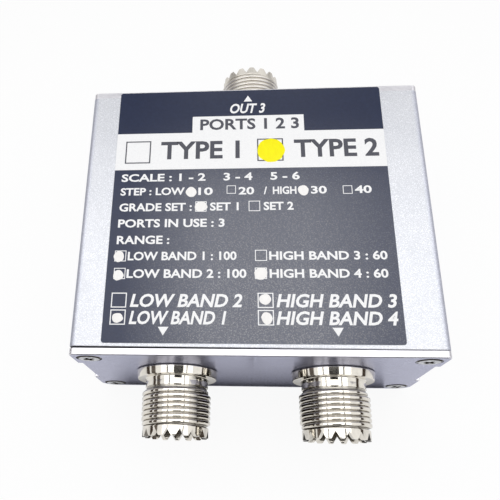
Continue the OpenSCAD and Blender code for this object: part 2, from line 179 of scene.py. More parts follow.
def dress(shader, **values):
    """Set a shader's sockets, to a plain value or to what a wire carries."""
    for name, value in values.items():
        socket = shader.inputs[name.replace("_", " ").title().replace("Ior", "IOR")]
        if isinstance(value, Wire):
            value.tree.links.new(value.socket, socket)
        else:
            socket.default_value = value


def finish(name, **plain):
    """A new material: itself, its shader and the place on the piece's surface."""
    material = bpy.data.materials.new(name)
    material.use_nodes = True
    shader = material.node_tree.nodes["Principled BSDF"]
    dress(shader, **plain)
    return material, shader, Wire(material.node_tree).add("ShaderNodeTexCoord", output="Object")


def anodised(name, colour, shade, rough, relief, corner=(1, 1, 1)):
    """Blasted, anodised aluminium: a grain of bright and dull specks, with painted shade that makes the
    upper side rounds darker and bluer.
    """
    material, shader, place = finish(name, metallic=0.85)
    grain = place.noise(0.22, 3)
    cloud = place.noise(9, 2)
    speck = place.noise(0.13, 0).ramp(0.6, 0.72)
    tone = (grain * 0.7 + cloud * 0.3).ramp(0.3, 0.7)
    plain = speck.mix(tone.mix(shade, colour), [SPECK_GAIN * part for part in colour])
    # Painted shade: near the upper side rounds the base colour is multiplied by the corner colour.
    side = place.axis(0).math("ABSOLUTE").ramp(*(SHELL_HALF - inset for inset in CORNER_SHADE_ACROSS))
    upper = place.axis(2).ramp(*(SHELL_TOP - inset for inset in CORNER_SHADE_DOWN))
    dress(
        shader,
        base_color=(side * upper).mix(plain, corner, "MULTIPLY"),
        roughness=rough + 0.12 * grain - 0.14 * speck,
        normal=grain.bump(relief),
    )
    return material


def placed(name, shape, material, body, replaced, sharp_angle):
    """Make a finished shape an object of the part, on its body and in place of its CAD nodes."""
    if isinstance(shape, bmesh.types.BMesh):
        mesh = bpy.data.meshes.new(name)
        shape.to_mesh(mesh)
        shape.free()
    else:
        mesh = shape
        mesh.name = name
        mesh.shade_smooth()
    mesh.set_sharp_from_angle(angle=math.radians(sharp_angle))
    if not mesh.materials:
        mesh.materials.append(material)
    piece = bpy.data.objects.new(name, mesh)
    bpy.context.scene.collection.objects.link(piece)
    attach(piece, body)
    if replaced:
        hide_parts(*replaced)
    return piece


def softened(node, width, steps, picked, material, seam=(0, 0)):
    """A copy of a CAD piece whose picked edges are broken, by a chamfer or by a round of more steps.

    Its front end stands back from the plate by the seam's widths at the left and the right side.
    """
    shape = bmesh.new()
    shape.from_mesh(nodes[node].data)
    front = min(vert.co.y for vert in shape.verts)
    for vert in shape.verts:
        if vert.co.y < front + END_SLACK * MM:
            across = (vert.co.x / (SHELL_HALF * MM) + 1) / 2
            vert.co.y += (seam[0] + (seam[1] - seam[0]) * across) * MM
    bmesh.ops.remove_doubles(shape, verts=shape.verts, dist=MERGE_GAP * MM)
    bmesh.ops.dissolve_limit(
        shape, angle_limit=math.radians(SAME_PLANE), verts=shape.verts, edges=shape.edges)
    sharp = [
        edge for edge in shape.edges
        if len(edge.link_faces) == 2 and edge.is_convex
        and edge.calc_face_angle() > math.radians(SHARP_EDGE)
        and picked((edge.verts[0].co + edge.verts[1].co) / (2 * MM))
    ]
    bmesh.ops.bevel(
        shape, geom=sharp, offset=width * MM, segments=steps, profile=0.5, affect="EDGES",
        clamp_overlap=True)
    shape.normal_update()
    smooth = []
    for face in shape.faces:
        flat = max(abs(part) for part in face.normal) > FLAT_FACING
        narrow = 2 * face.calc_area() / face.calc_perimeter() < NARROW_FACE * MM
        smooth.append(narrow and not flat)
    piece = placed(node + "_form", shape, material, nodes[node]["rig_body"], [node], 40)
    piece.data.polygons.foreach_set("use_smooth", smooth)
    return piece


def on_skin(spot):
    """Whether an edge of a shell, in millimetres, is on its outer skin and not at its rear end."""
    beside = abs(spot.x) > SHELL_HALF - SKIN_ACROSS
    return spot.y < SHELL_REAR and (beside or not SKIN_UP < spot.z < SHELL_TOP - SKIN_UP)


shell_metal = anodised(
    "blasted_aluminium", SHELL_COLOUR, SHELL_SHADE, rough=0.5, relief=0.02, corner=SHELL_CORNER_SHADE)
# The shells' end faces, seen in the seam at each plate, and the plates' hole walls are painted shade:
# dark grey in blotches, fading to pale grey towards positive x.
joint_shade_metal, shader, place = finish("oily_joint", metallic=0.4)
shade_blotch = place.noise(0.8, 3)
unshaded = (place.axis(0) + shade_blotch * JOINT_SHADE_WOBBLE).ramp(*JOINT_SHADE_FADE_X)
dress(
    shader,
    base_color=unshaded.mix(shade_blotch.ramp(0.3, 0.7).mix(JOINT_SHADE_DARK, JOINT_SHADE_GREY), JOINT_UNSHADED),
    roughness=0.45 + 0.2 * shade_blotch,
)
for half in ("lower_shell", "upper_shell"):
    shell = softened(half, END_ROUND, 3, on_skin, shell_metal, SEAM)
    shell.data.materials.append(joint_shade_metal)
    for face in shell.data.polygons:
        face.material_index = int(abs(face.normal.y) > END_FACING)

# The filter board is green masked glass laminate in the lower shell's slots, with a tinned
# screen soldered upright between the low-pass and the high-pass branch.
PORTS = ("low_band", "high_band", "common")
MASK_GREEN = (0.015, 0.12, 0.05)
MASK_DARK = (0.008, 0.07, 0.03)
TIN_BRIGHT = (0.72, 0.72, 0.70)
TIN_DULL = (0.52, 0.53, 0.53)


def retouched(material, *names):
    """Give CAD pieces whose shape is right a better finish."""
    for name in names:
        for slot in nodes[name].material_slots:
            slot.material = material


board_mask, shader, place = finish("green_board", metallic=0.0)
weave = place.stretched(1, 0.2, 1).noise(0.5, 1) + place.stretched(0.2, 1, 1).noise(0.5, 1)
dress(
    shader,
    base_color=(weave * 0.5).ramp(0.35, 0.65).mix(MASK_DARK, MASK_GREEN),
    roughness=0.3 + 0.2 * place.noise(3),
    normal=weave.bump(0.02),
)
retouched(board_mask, "filter_board")

tinned, shader, place = finish("tinned_sheet", metallic=1.0)
dull = place.noise(2.2, 4)
dress(
    shader,
    base_color=dull.ramp(0.35, 0.65).mix(TIN_BRIGHT, TIN_DULL),
    roughness=0.25 + 0.3 * dull,
    normal=place.noise(0.6).bump(0.01),
)
retouched(tinned, "screen_wall")
for port in PORTS:
    retouched(tinned, f"{port}_tag", f"{port}_lead")

# Each branch has two air-wound coils of enamelled copper wire, wound on a mandrel and
# soldered to the board by their straight legs.
BOARD_TOP = 8.6
COIL_LIFT = 1.2
WIRE_SIDES = 14
STEPS_PER_TURN = 40
# Middle x and y, mean diameter, wire gauge, turns and pitch of each coil.
COILS = {
    "low_pass_coil_front": (-15, -7.5, 8, 1.2, 4.5, 2.0),
    "low_pass_coil_rear": (-15, 7.5, 8, 1.2, 4.5, 2.0),
    "high_pass_coil_front": (15, -7.5, 5, 1.0, 3.5, 1.8),
    "high_pass_coil_rear": (15, 7.5, 5, 1.0, 3.5, 1.8),
}
ENAMEL_LIGHT = (0.62, 0.25, 0.10)
ENAMEL_DARK = (0.36, 0.11, 0.04)


def form_tree(name, **sizes):
    """A geometry tree with a mesh and named sizes going in; returns it and its inputs as wires."""
    tree = bpy.data.node_groups.new(name, "GeometryNodeTree")
    kinds = {"Geometry": "Geometry", **sizes, "Finish": "Material"}
    for label, kind in kinds.items():
        tree.interface.new_socket(
            label.replace("_", " "), in_out="INPUT", socket_type="NodeSocket" + kind)
    tree.interface.new_socket("Geometry", in_out="OUTPUT", socket_type="NodeSocketGeometry")
    entry = tree.nodes.new("NodeGroupInput")
    return tree, {label: Wire(tree, entry.outputs[label.replace("_", " ")]) for label in kinds}


def end_tree(geometry, material):
    """Close a tree: real meshes and the finish."""
    real = geometry.add("GeometryNodeRealizeInstances", {0: geometry})
    coated = real.add("GeometryNodeSetMaterial", {0: real, 2: material})
    coated.add("NodeGroupOutput", {0: coated})


def drawn(track, points):
    """A curve of so many points, each put where the track says for its number."""
    line = track.add("GeometryNodeCurvePrimitiveLine")
    line = line.add("GeometryNodeResampleCurve", {0: line, 2: points})
    return line.add("GeometryNodeSetPosition", {0: line, 2: track})


def grown(tree, blank, material, **sizes):
    """Run a tree over a blank mesh with its sizes and return the plain mesh that comes out."""
    worker = bpy.data.objects.new(tree.name, blank)
    bpy.context.scene.collection.objects.link(worker)
    modifier = worker.modifiers.new("Form", "NODES")
    modifier.node_group = tree
    for item in tree.interface.items_tree:
        label = item.name.replace(" ", "_")
        if item.in_out == "INPUT" and label in sizes:
            modifier[item.identifier] = sizes[label]
        if item.in_out == "INPUT" and label == "Finish":
            modifier[item.identifier] = material
    ready = worker.evaluated_get(bpy.context.evaluated_depsgraph_get())
    mesh = bpy.data.meshes.new_from_object(ready)
    worker.modifiers.remove(modifier)
    bpy.data.objects.remove(worker)
    return mesh


coil_tree, size = form_tree(
    "Air coil", Diameter="Float", Gauge="Float", Turns="Float", Pitch="Float", Leg="Float",
    Points="Int")
step = size["Points"].add("GeometryNodeInputIndex")
last = size["Points"] - 1
share = (step - 1).ramp(0, last - 2)
angle = share * (size["Turns"] + 0.5) * math.tau
half_length = (size["Turns"] + 0.5) * size["Pitch"] / 2
on_leg = (step < 0.5) + (step > last - 0.5)
radius = size["Diameter"] / 2
track = step.vector(
    angle.math("COSINE") * radius * -1,
    share * half_length * 2 - half_length,
    (1 - on_leg) * radius * angle.math("SINE") - on_leg * size["Leg"])
line = drawn(track, size["Points"])
ring = line.add("GeometryNodeCurvePrimitiveCircle", {0: WIRE_SIDES, 4: size["Gauge"] / 2})
end_tree(line.add("GeometryNodeCurveToMesh", {0: line, 1: ring, 3: True}), size["Finish"])

copper, shader, place = finish("enamelled_copper", metallic=0.9, coat_weight=0.6, coat_roughness=0.15)
streak = place.stretched(1, 0.3, 1).noise(0.8, 3)
dress(
    shader,
    base_color=streak.ramp(0.3, 0.7).mix(ENAMEL_DARK, ENAMEL_LIGHT),
    roughness=0.22 + 0.2 * streak,
    normal=place.noise(0.3).bump(0.006),
)
for node, (x, y, diameter, gauge, turns, pitch) in COILS.items():
    leg = diameter / 2 + gauge / 2 + COIL_LIFT
    mesh = grown(
        coil_tree, bpy.data.meshes.new("coil_blank"), copper,
        Diameter=diameter * MM, Gauge=gauge * MM, Turns=turns, Pitch=pitch * MM, Leg=leg * MM,
        Points=int((turns + 0.5) * STEPS_PER_TURN) + 3)
    mesh.transform(Matrix.Translation((x * MM, y * MM, (BOARD_TOP + leg) * MM)))
    placed(node + "_winding", mesh, copper, "case", [node], 60)

# The capacitors are ceramic discs dipped in blue lacquer. They stand in rows on tinned wire
# legs, which are soldered to the board.
LACQUER_END = 10.45
LACQUER_BLUE = (0.02, 0.07, 0.32)
LACQUER_DARK = (0.012, 0.04, 0.2)

dipped, shader, place = finish("dipped_disc", metallic=0.0)
bare = place.axis(2) < LACQUER_END
blotch = place.noise(1.6, 3)
dress(
    shader,
    base_color=bare.mix(blotch.ramp(0.3, 0.7).mix(LACQUER_DARK, LACQUER_BLUE), TIN_BRIGHT),
    roughness=0.22 + 0.2 * blotch,
    metallic=bare,
    normal=blotch.bump(0.08),
)
retouched(dipped, "low_pass_capacitors", "high_pass_capacitors")

# Each socket's shell is turned brass with bright nickel plate: a flange, a neck, a coupling
# thread cut as one helix, and a rim with sixteen V notches that lock a plug's ring.
PLATE_FACE = 33.6
# Middle x and z, turn to its end of the case, and turn about its own axis of each socket.
SOCKETS = {
    "low_band": (-18.1, 20.5, 0, -2.3),
    "high_band": (18.1, 20.5, 0, -2),
    "common": (0, 20, 180, 2),
}
MILKY = ("common",)
LATHE_SIDES = 128
BORE_R = 6.1
SHANK_R = 7.75
SHANK_END = -7.1
FLANGE_R = 9.5
FLANGE_L = 2.1
FLANGE_TAPER = 0.26
SEAT_R = 8.8
SEAT_GAP = 0.2
NECK_R = 7.25
NECK_FOOT = (7.36, 2.85)
NECK_END = 4.15
RELIEF_R = 7.0
THREAD_START = 4.8
THREAD_END = 12.5
ROOT_R = 7.3775
RIM_R = 7.55
RIM_START = 12.93
BARREL_L = 15.156
MOUTH_CHAMFER = 0.35
EDGE_EASE = 0.16
EASE_SHARE = 0.36
EASE_GUARD = 1.3
NOTCHES = 16
NOTCH_W = 2.0
NOTCH_D = 1.6
CUTTER_L = 4.0
CUTTER_IN = 0.8
THREAD_SIZES = dict.fromkeys(("Root_Radius", "Depth", "Pitch", "Crest", "Start", "Turns"), "Float")
THREAD_DEPTH = 0.56
THREAD_PITCH = 1.125
THREAD_CREST = 0.62
THREAD_LEAD = 0.32
THREAD_TURNS = 6.62
THREAD_STEPS = 64
THREAD_SUNK = 0.2
THREAD_FLANK = 30
THREAD_RUNOUT = 0.2
CREST_ROUND = 0.45
NICKEL = (0.85, 0.81, 0.735)
NICKEL_DULL = (0.74, 0.705, 0.64)
NICKEL_MILKY = (0.77, 0.735, 0.675)
# Dark brown of soiling and painted shade in the hollows.
GRIME_AND_SHADE = (0.055, 0.043, 0.031)


def eased(outline, size):
    """The same outline with each corner cut back by size and rounded with a middle point.

    A second pair of points beside each corner keeps the straight runs flat when they are shaded.
    """
    smooth = []
    for index, corner in enumerate(outline):
        if corner[0] == 0:
            smooth.append(corner)
            continue
        sides = []
        for other in (outline[index - 1], outline[(index + 1) % len(outline)]):
            length = math.dist(corner, other)
            cut_share = min(size, EASE_SHARE * length) / length
            sides.append([
                tuple(a + (b - a) * share for a, b in zip(corner, other))
                for share in (cut_share * EASE_GUARD, cut_share)
            ])
        middle = tuple((a + 2 * b + c) / 4 for a, b, c in zip(sides[0][1], corner, sides[1][1]))
        smooth += [*sides[0], middle, *reversed(sides[1])]
    return smooth


def turned(name, outline, around):
    """A lathe blank about Z from radius and height pairs in millimetres, as a closed mesh."""
    shape = bmesh.new()
    rings = []
    for r, h in outline:
        turns = [math.tau * k / around for k in range(around if r else 1)]
        places = [(r * MM * math.cos(a), r * MM * math.sin(a), h * MM) for a in turns]
        rings.append([shape.verts.new(place) for place in places])
    for low, high in zip(rings, rings[1:] + rings[:1]):
        for k in range(around):
            corners = [
                low[k % len(low)], low[(k + 1) % len(low)],
                high[(k + 1) % len(high)], high[k % len(high)],
            ]
            corners = list(dict.fromkeys(corners))
            if len(corners) > 2:
                shape.faces.new(corners)
    bmesh.ops.recalc_face_normals(shape, faces=shape.faces)
    mesh = bpy.data.meshes.new(name)
    shape.to_mesh(mesh)
    shape.free()
    return mesh


def shifted(geometry, place=(0, 0, 0), turn=(0, 0, 0), scale=(1, 1, 1)):
    """A tree's geometry scaled, turned and moved."""
    return geometry.add("GeometryNodeTransform", {0: geometry, 1: place, 2: turn, 3: scale})


def cut(body, cutter):
    """A tree's geometry with a cutter taken out of it."""
    return body.add(
        "GeometryNodeMeshBoolean", {0: body, 1: cutter}, operation="DIFFERENCE", solver="EXACT")


def marked(geometry, name, value, domain="POINT"):
    """A tree's geometry with a value written on it, for its finish to read."""
    return geometry.add(
        "GeometryNodeStoreNamedAttribute", {0: geometry, 2: name, 3: value}, domain=domain)


def from_axis(place):
    """A place's distance from the Z axis."""
    x, y = place.part(0), place.part(1)
    return (x * x + y * y).math("SQRT")


def threaded(geometry, size):
    """A tree's geometry joined by a thread with the tree's own sizes."""
    thread = geometry.add("GeometryNodeGroup", node_tree=thread_tree)
    for label in THREAD_SIZES:
        inlet = thread.socket.node.inputs[label.replace("_", " ")]
        geometry.tree.links.new(size[label].socket, inlet)
    return geometry.add("GeometryNodeJoinGeometry", {0: [geometry, thread]})


thread_tree, size = form_tree("Thread", **THREAD_SIZES)
step = size["Pitch"].add("GeometryNodeInputIndex")
along = step / THREAD_STEPS
angle = along * math.tau
track = step.vector(
    angle.math("COSINE") * size["Root_Radius"],
    angle.math("SINE") * size["Root_Radius"],
    along * size["Pitch"] + size["Start"])
helix = drawn(track, size["Turns"] * THREAD_STEPS + 1)
helix = helix.add("GeometryNodeSetCurveNormal", {0: helix}, mode="Z_UP")
done = helix.add("GeometryNodeSplineParameter", output="Factor") * size["Turns"]
runout = done.math("MINIMUM", size["Turns"] - done).ramp(0, THREAD_RUNOUT)
depth, crest = size["Depth"], size["Crest"] / 2
sunk = depth * -THREAD_SUNK
foot = crest + depth * (1 + THREAD_SUNK) * math.tan(math.radians(THREAD_FLANK))
profile = ((sunk, foot * -1), (depth, crest * -1), (depth, crest), (sunk, foot))
corners = {7 + number: out.vector(out, across) for number, (out, across) in enumerate(profile)}
ridge = helix.add("GeometryNodeCurvePrimitiveQuadrilateral", corners, mode="POINTS")
ridge = ridge.add(
    "GeometryNodeFilletCurve", {0: ridge, 1: 3, 2: size["Crest"] * CREST_ROUND, 3: True},
    mode="POLY")
swept = helix.add("GeometryNodeCurveToMesh", {0: helix, 1: ridge, 2: runout * 0.98 + 0.02, 3: True})
end_tree(swept, size["Finish"])

socket_tree, size = form_tree(
    "Socket shell", Rim_Radius="Float", Barrel="Float", Notches="Int", Notch_Width="Float",
    Notch_Depth="Float", Groove_From="Float", Groove_To="Float", Gap="Float", Bore="Float",
    **THREAD_SIZES)
wedge = size["Barrel"].add("GeometryNodeMeshCylinder", {0: 4, 3: 1.0, 4: 1.0})
wedge = shifted(
    wedge, scale=wedge.vector(size["Notch_Width"] / 2, size["Notch_Depth"], CUTTER_L * MM))
wedge = shifted(
    wedge, wedge.vector(size["Rim_Radius"] - CUTTER_IN * MM, 0, size["Barrel"]),
    (math.pi / 2, 0, math.pi / 2))
spots = wedge.add("GeometryNodeMeshLine", {0: size["Notches"], 2: (0, 0, 0), 3: (0, 0, 0)})
turn = (spots.add("GeometryNodeInputIndex") + 0.5) * math.tau / size["Notches"]
wedges = spots.add("GeometryNodeInstanceOnPoints", {0: spots, 2: wedge, 5: turn.vector(z=turn)})
wedges = wedges.add("GeometryNodeRealizeInstances", {0: wedges})
joined = threaded(cut(size["Geometry"], wedges), size)
here = joined.add("GeometryNodeInputPosition")
height = here.part(2)
radius = from_axis(here)
# Thread valleys are marked for soiling with painted shade.
valley = ((size["Root_Radius"] - radius) / size["Depth"] + 1).ramp(0.5, 1.1)
valley = valley * (height > size["Groove_From"]) * (height < size["Groove_To"])
# The seat and shank behind the flange, and the bore, are marked for painted shade.
hidden = (height < size["Gap"]) + (radius < size["Bore"]) * 0.4
end_tree(marked(joined, "grime", (valley + hidden).ramp(0, 1)), size["Finish"])


def plated(name, bright, dull, rough, shade_and_grime_share):
    """Nickel plate over turned brass: fine lathe marks, patches of haze, and a dark brown of soiling and
    painted shade where the mesh is marked.
    """
    material, shader, place = finish(name, metallic=1.0)
    lathe = place.stretched(0.02, 1, 0.02).noise(0.12, 2)
    haze = place.noise(1.4, 3)
    grime = place.attribute("grime") * shade_and_grime_share
    dress(
        shader,
        base_color=grime.mix(haze.ramp(0.35, 0.7).mix(bright, dull), GRIME_AND_SHADE),
        roughness=rough + 0.05 * haze + 0.03 * lathe + 0.3 * grime,
        normal=lathe.bump(0.004),
    )
    return material


def on_plate(mesh, x, z, turn):
    """Stand a piece that was made along Z on an end plate's face."""
    mesh.transform(Matrix.Rotation(math.radians(turn), 4, "Z")
                   @ Matrix.Translation((x * MM, -PLATE_FACE * MM, z * MM))
                   @ Matrix.Rotation(math.pi / 2, 4, "X"))


nickel = plated("bright_nickel", NICKEL, NICKEL_DULL, rough=0.05, shade_and_grime_share=0.58)
milky_nickel = plated("milky_nickel", NICKEL_MILKY, NICKEL_DULL, rough=0.3, shade_and_grime_share=0.16)
shell_outline = eased([
    (BORE_R, SHANK_END), (SHANK_R, SHANK_END), (SHANK_R, 0), (SEAT_R, 0), (SEAT_R, SEAT_GAP),
    (FLANGE_R, SEAT_GAP), (FLANGE_R - FLANGE_TAPER, FLANGE_L), (NECK_FOOT[0], FLANGE_L),
    (NECK_R, NECK_FOOT[1]), (NECK_R, NECK_END), (RELIEF_R, NECK_END), (RELIEF_R, THREAD_START),
    (ROOT_R, THREAD_START), (ROOT_R, THREAD_END), (RELIEF_R, THREAD_END), (RELIEF_R, RIM_START),
    (RIM_R, RIM_START), (RIM_R, BARREL_L), (BORE_R + MOUTH_CHAMFER, BARREL_L),
    (BORE_R, BARREL_L - MOUTH_CHAMFER),
], EDGE_EASE)
for port, (x, z, turn, clock) in SOCKETS.items():
    plating = milky_nickel if port in MILKY else nickel
    mesh = grown(
        socket_tree, turned("shell_blank", shell_outline, LATHE_SIDES), plating,
        Rim_Radius=RIM_R * MM, Barrel=BARREL_L * MM,
        Notches=NOTCHES, Notch_Width=NOTCH_W * MM, Notch_Depth=NOTCH_D * MM,
        Groove_From=(NECK_END + 0.05) * MM, Groove_To=(RIM_START - 0.05) * MM,
        Gap=(SEAT_GAP + 0.01) * MM, Bore=(BORE_R + 0.1) * MM,
        Root_Radius=ROOT_R * MM, Depth=THREAD_DEPTH * MM, Pitch=THREAD_PITCH * MM,
        Crest=THREAD_CREST * MM, Start=(THREAD_START + THREAD_LEAD) * MM, Turns=THREAD_TURNS)
    mesh.transform(Matrix.Rotation(math.radians(clock), 4, "Z"))
    on_plate(mesh, x, z, turn)
    placed(f"{port}_socket", mesh, plating, "case", [f"{port}_shell"], 32)

# In each shell sits a white fluoropolymer insulator with a gold plated slotted contact; behind
# the plate a nickel plated lock nut draws the flange tight.
INSULATOR = (0.88, 0.87, 0.83)
INSULATOR_SHADE = (0.80, 0.78, 0.73)
GOLD = (0.86, 0.62, 0.26)
GOLD_DULL = (0.62, 0.43, 0.19)

white_plastic, shader, place = finish("white_insulator", metallic=0.0)
tool_marks = place.stretched(1, 0.05, 1).noise(0.5, 3)
dress(
    shader,
    base_color=tool_marks.ramp(0.3, 0.7).mix(INSULATOR_SHADE, INSULATOR),
    roughness=0.42 + 0.15 * tool_marks,
    normal=tool_marks.bump(0.015),
)
gold, shader, place = finish("gold_contact", metallic=1.0)
tarnish = place.noise(1.1, 4)
dress(
    shader,
    base_color=tarnish.ramp(0.4, 0.7).mix(GOLD, GOLD_DULL),
    roughness=0.16 + 0.2 * tarnish,
    normal=place.stretched(1, 8, 1).noise(0.8).bump(0.004),
)
for port in PORTS:
    retouched(white_plastic, f"{port}_insulator")
    retouched(gold, f"{port}_contact")
    retouched(nickel, f"{port}_nut")

# The end plates are cut from aluminium sheet to the case's section, blasted and anodised, with
# countersunk holes for four screws each.
# Their colour, greyer, darker and bluer than the shells', is painted shade.
PLATE_CHAMFER = 0.16
PLATE_SHADED_COLOUR = (0.455, 0.465, 0.612)
PLATE_SHADED_DULL = (0.38, 0.39, 0.525)
# Near white on the plates' outline faces: a painted highlight.
CUT_EDGE_HIGHLIGHT = (0.86, 0.85, 0.89)
CUT_EDGE_HIGHLIGHT_DULL = (0.76, 0.75, 0.79)
CUT_FACING = 0.8
SCREW_X = 36.2
SCREW_LEVELS = {"upper": 34.2, "lower": 3.8}
SCREW_HOLE = 3.2
SOCKET_FIELD_X = 30
SOCKET_FIELD_Z = (8, 33)
REAR_INNER_Y = (30, 33)


def on_outline(spot):
    """Whether a place of a plate, in millimetres, is on its outline and not in a hole."""
    to_screw = min(
        math.hypot(abs(spot.x) - SCREW_X, spot.z - level) for level in SCREW_LEVELS.values())
    by_socket = abs(spot.x) <= SOCKET_FIELD_X and SOCKET_FIELD_Z[0] < spot.z < SOCKET_FIELD_Z[1]
    return to_screw > SCREW_HOLE and not by_socket


def on_plate_edge(spot):
    """Whether an edge of a plate is on its outline and not on the rear plate's hidden side."""
    return on_outline(spot) and not REAR_INNER_Y[0] < spot.y < REAR_INNER_Y[1]


# The plates' darker, bluer colour is painted shade.
plate_metal = anodised("blasted_plate", PLATE_SHADED_COLOUR, PLATE_SHADED_DULL, rough=0.3, relief=0.004)
# Saw marks on the outline faces, whose near white brightness is a painted highlight.
cut_edge_highlight_metal, shader, place = finish("cut_edge", metallic=1.0)
saw = place.stretched(0.15, 1, 0.15).noise(0.2, 2)
dress(
    shader,
    base_color=saw.ramp(0.3, 0.7).mix(CUT_EDGE_HIGHLIGHT_DULL, CUT_EDGE_HIGHLIGHT),
    roughness=0.3 + 0.15 * saw,
    normal=saw.bump(0.01),
)
for end in ("front_plate", "rear_plate"):
    plate = softened(end, PLATE_CHAMFER, 1, on_plate_edge, plate_metal)
    # Outline faces take the painted highlight, hole walls the painted joint shade.
    plate.data.materials.append(cut_edge_highlight_metal)
    plate.data.materials.append(joint_shade_metal)
    for face in plate.data.polygons:
        if abs(face.normal.y) < CUT_FACING:
            face.material_index = 1 if on_outline(face.center / MM) else 2

# Eight zinc plated countersunk screws with a cross recess hold the plates to the shells' channels.
# Each is one body of its own.
HEAD_R = 2.6
HEAD_FACE_R = 2.28
HEAD_RISE = 0.22
HEAD_EDGE = -0.16
HEAD_END = -1.6
HEAD_SIDES = 56
SHANK_ROOT = 1.24
SCREW_L = 8.0
SCREW_POINT = 0.5
SCREW_EASE = 0.06
SCREW_PITCH = 0.5
SCREW_DEPTH = 0.2
SCREW_CREST = 0.08
SCREW_START = -7.2
SCREW_TURNS = 10.5
CROSS_SPAN = 3.0
CROSS_WING = 0.95
CROSS_DEPTH = 1.9
CROSS_TURNS = {"upper_left": 24, "upper_right": 61, "lower_left": 8, "lower_right": 40}
REAR_CROSS_TURN = 20
RIM_SHADOW_BLUR = 0.06
ZINC = (0.60, 0.61, 0.63)
ZINC_DULL = (0.38, 0.39, 0.42)

screw_tree, size = form_tree(
    "Plate screw", Span="Float", Wing="Float", Recess="Float", Top="Float", Face="Float",
    Turn="Float", **THREAD_SIZES)
taper = size["Span"].add(
    "GeometryNodeMeshCone", {0: 4, 3: math.sqrt(0.5), 4: math.sqrt(0.1), 5: 1.0})
taper = shifted(taper, (0, 0, -0.8), (0, 0, math.pi / 4))
wings = []
for quarter in (0, math.pi / 2):
    wing = shifted(
        taper, taper.vector(z=size["Top"]),
        scale=taper.vector(size["Span"], size["Wing"], size["Recess"]))
    spin = size["Turn"] + quarter
    wings.append(shifted(wing, turn=spin.vector(z=spin)))
wings = wings[0].add("GeometryNodeMeshBoolean", {1: wings}, operation="UNION", solver="EXACT")
# The cross recess is marked for painted shade.
crossed = cut(size["Geometry"], marked(wings, "grime", 1.0, "FACE"))
here = crossed.add("GeometryNodeInputPosition")
radius = from_axis(here)
# An upper arc of the head, outside its face, is marked for a painted shadow.
lid = (radius - size["Face"]).ramp(-RIM_SHADOW_BLUR * MM, RIM_SHADOW_BLUR * MM)
lid = lid * (here.part(1) / radius).ramp(-0.25, 0.15)
end_tree(threaded(marked(crossed, "lid", lid), size), size["Finish"])

zinc, shader, place = finish("zinc_screw", metallic=1.0)
wear = place.noise(0.7, 4)
# Dark where the recess's painted shade or the head's painted shadow is marked.
grime = place.attribute("grime").math("MAXIMUM", place.attribute("lid"))
dress(
    shader,
    base_color=grime.mix(wear.ramp(0.4, 0.65).mix(ZINC, ZINC_DULL), GRIME_AND_SHADE),
    roughness=0.2 + 0.22 * wear + 0.3 * grime,
    normal=place.noise(0.25).bump(0.006),
)
screw_outline = eased([
    (0, HEAD_RISE), (HEAD_FACE_R * 0.6, HEAD_RISE - 0.02), (HEAD_FACE_R, HEAD_RISE - 0.06),
    (HEAD_R, HEAD_EDGE), (HEAD_R - 0.05, HEAD_EDGE - 0.1), (SHANK_ROOT, HEAD_END),
    (SHANK_ROOT, SCREW_POINT - SCREW_L), (SHANK_ROOT - 0.4, -SCREW_L), (0, -SCREW_L),
], SCREW_EASE)
for end, turn, cross_start in (("front", 0, 0), ("rear", 180, REAR_CROSS_TURN)):
    for corner, cross_turn in CROSS_TURNS.items():
        level, side = corner.split("_")
        node = f"{end}_{corner}_screw"
        mesh = grown(
            screw_tree, turned("screw_blank", screw_outline, HEAD_SIDES), zinc,
            Span=CROSS_SPAN * MM, Wing=CROSS_WING * MM, Recess=CROSS_DEPTH * MM,
            Top=HEAD_RISE * MM, Face=HEAD_FACE_R * MM, Turn=math.radians(cross_turn + cross_start),
            Root_Radius=SHANK_ROOT * MM, Depth=SCREW_DEPTH * MM, Pitch=SCREW_PITCH * MM,
            Crest=SCREW_CREST * MM, Start=SCREW_START * MM, Turns=SCREW_TURNS)
        on_plate(mesh, SCREW_X if side == "right" else -SCREW_X, SCREW_LEVELS[level], turn)
        placed(f"{node}_piece", mesh, zinc, nodes[node]["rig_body"], [node], 35)

# The label is a dark blue printed film with a satin face, stuck on the upper shell. Its gloss
# has gone dull towards the left and the right side.
LABEL_LEFT = -33.0
LABEL_FRONT = -31.0
LABEL_TOP = 38.15
FILM_DARK = (0.002, 0.008, 0.038)
FILM_LIGHT = (0.007, 0.016, 0.057)
FILM_SHEEN_SPECK = (0.27, 0.268, 0.278)
WORN_LEFT = (-10, -29)
WORN_RIGHT = (12, 30)
SHEEN_FADE = (26, -24)

film, shader, place = finish("label_film", metallic=0.0, coat_roughness=0.22, coat_ior=1.62)
speck = place.noise(0.16, 3)
across = place.axis(0)
worn = across.ramp(*WORN_LEFT) * 0.95 + across.ramp(*WORN_RIGHT) * 0.6
tone = (speck * 0.6 + place.noise(0.7, 2) * 0.4).ramp(0.35, 0.7).mix(FILM_DARK, FILM_LIGHT)
# Light grey specks, denser towards the front and where the coat is glossy: a painted sheen.
grain = place.noise(0.26, 1).ramp(0.5, 0.85) * place.axis(1).ramp(*SHEEN_FADE) * (1 - worn)
dress(
    shader,
    base_color=grain.mix(tone, FILM_SHEEN_SPECK),
    roughness=0.3 + 0.12 * speck,
    coat_weight=1 - worn,
    normal=speck.bump(0.012),
)
retouched(film, "rating_label")

# The label's print is a thin layer of ink: a white band with two type boxes, rows of white
# lettering and port arrows. Its places are measured from the label's front left corner.
INK = 0.02
WHITE_LEVELS = (LABEL_TOP - INK, LABEL_TOP + INK)
DARK_LEVELS = (LABEL_TOP, LABEL_TOP + 2 * INK)
INK_WHITE = (0.96, 0.96, 0.965)
INK_WHITE_DULL = (0.88, 0.88, 0.895)
INK_BLACK = (0.07, 0.072, 0.09)
INK_BLACK_DULL = (0.095, 0.097, 0.12)
BOLD = 0.027
BAND = [
    (0, 42.0), (64, 42.0), (64, 52.1), (45.4, 52.1), (45.4, 56.7), (18.4, 56.7), (18.4, 52.1), (0, 52.1),
]
